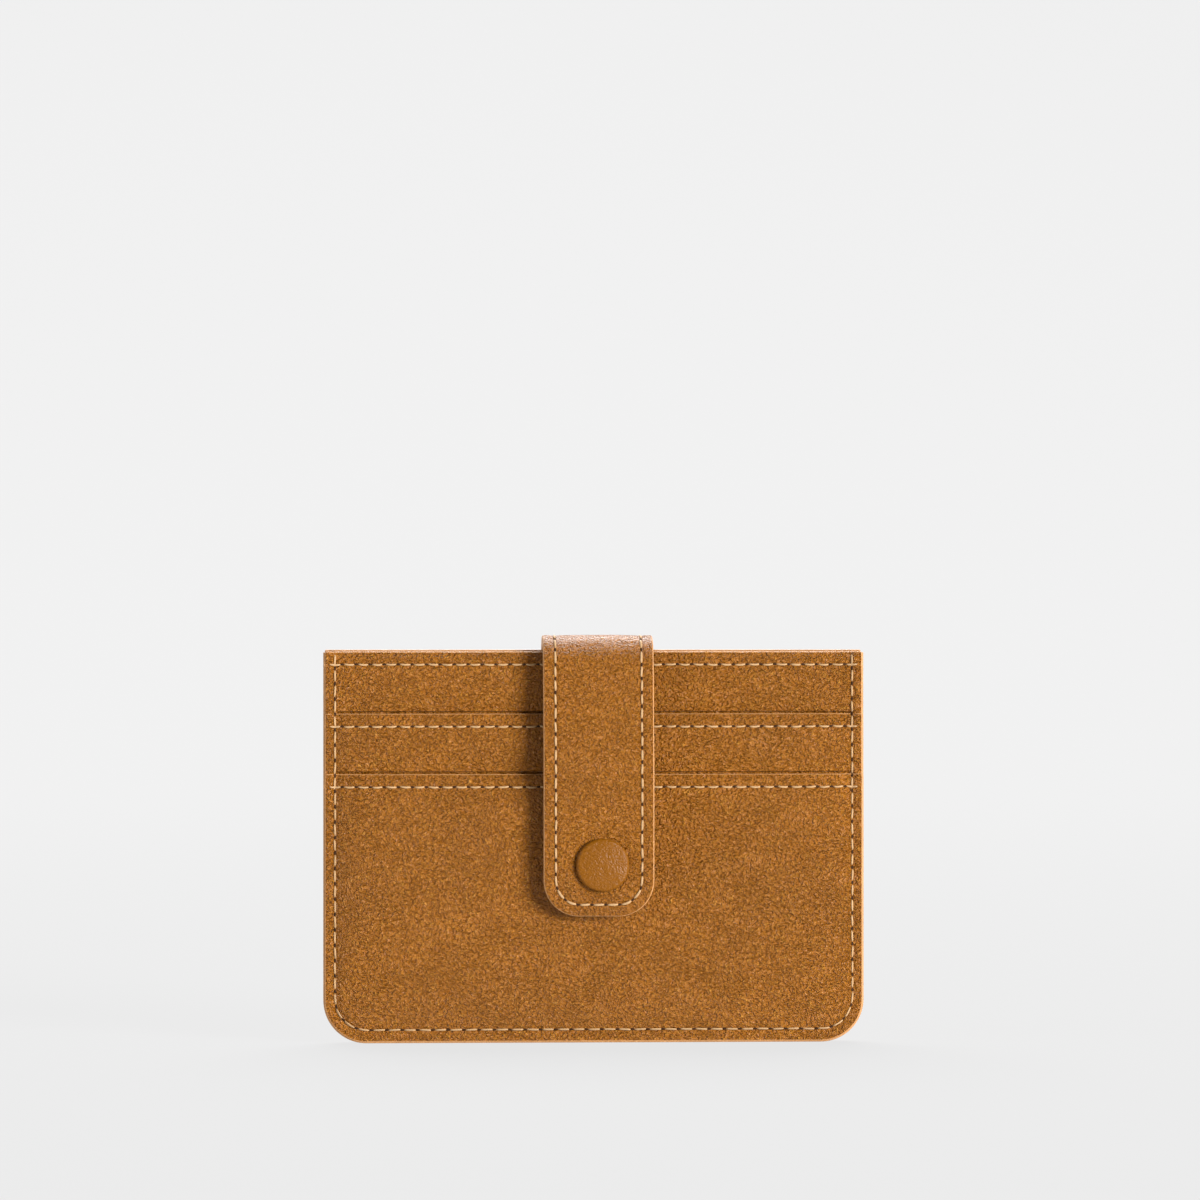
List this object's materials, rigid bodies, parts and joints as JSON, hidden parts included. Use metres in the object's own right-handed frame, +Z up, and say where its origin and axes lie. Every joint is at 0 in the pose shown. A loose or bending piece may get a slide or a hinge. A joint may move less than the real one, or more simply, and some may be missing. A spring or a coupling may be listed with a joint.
{
  "type": "card holder",
  "caption": "Flat leather card holder with stepped card pockets, a centre compartment and a strap that folds over the top edge and snaps shut on the front.",
  "frame": {"origin": "middle of the base panel's bottom edge", "axes": "+X across the width, to the right seen from the front; +Z up to the pockets' mouths; the front, with the strap's snap, faces -Y"},
  "size_m": [0.1, 0.0138, 0.0761],
  "materials": {
    "leather": "semi-gloss crinkled tan leather",
    "strap_leather": "semi-gloss tan leather with painted edges",
    "cap_leather": "smooth stretched tan leather",
    "lining_cloth": "plain woven lining",
    "thread": "twisted pale beige sewing thread",
    "brass": "satin brass",
    "spring_steel": "bright steel wire"
  },
  "bodies": {
    "holder": {"back_panel": "leather", "back_lining": "lining_cloth", "front_lining": "lining_cloth", "base_panel": "leather", "middle_slot_strip": "leather", "middle_slot_tail": "lining_cloth", "front_pocket_panel": "leather", "snap_patch": "lining_cloth", "perimeter_thread": "thread", "perimeter_back_thread": "thread", "top_edge_thread": "thread", "middle_slot_thread": "thread", "front_pocket_thread": "thread", "back_edge_thread": "thread", "strap_tail_lining": "strap_leather", "strap_tail_leather": "strap_leather", "strap_tail_thread": "thread", "snap_stud": "brass", "snap_stud_post": "brass"},
    "strap_bridge": {"strap_bridge_lining": "strap_leather", "strap_bridge_leather": "strap_leather", "strap_bridge_thread_left": "thread", "strap_bridge_thread_right": "thread"},
    "strap_flap": {"strap_flap_lining": "strap_leather", "strap_flap_leather": "strap_leather", "strap_flap_thread": "thread", "strap_flap_inner_thread": "thread", "snap_socket": "brass", "snap_spring": "spring_steel", "snap_cap": "brass", "snap_cap_cover": "cap_leather"}
  },
  "joints": [
    {"name": "strap_rear_bend", "type": "hinge", "parent": "holder", "child": "strap_bridge", "pos_m": [0.00065, 0.0061, 0.0706], "axis": [-1, 0, 0], "range_deg": [0, 170]},
    {"name": "strap_front_bend", "type": "hinge", "parent": "strap_bridge", "child": "strap_flap", "pos_m": [0.00065, -0.0072, 0.0693], "axis": [-1, 0, 0], "range_deg": [0, 110]}
  ]
}
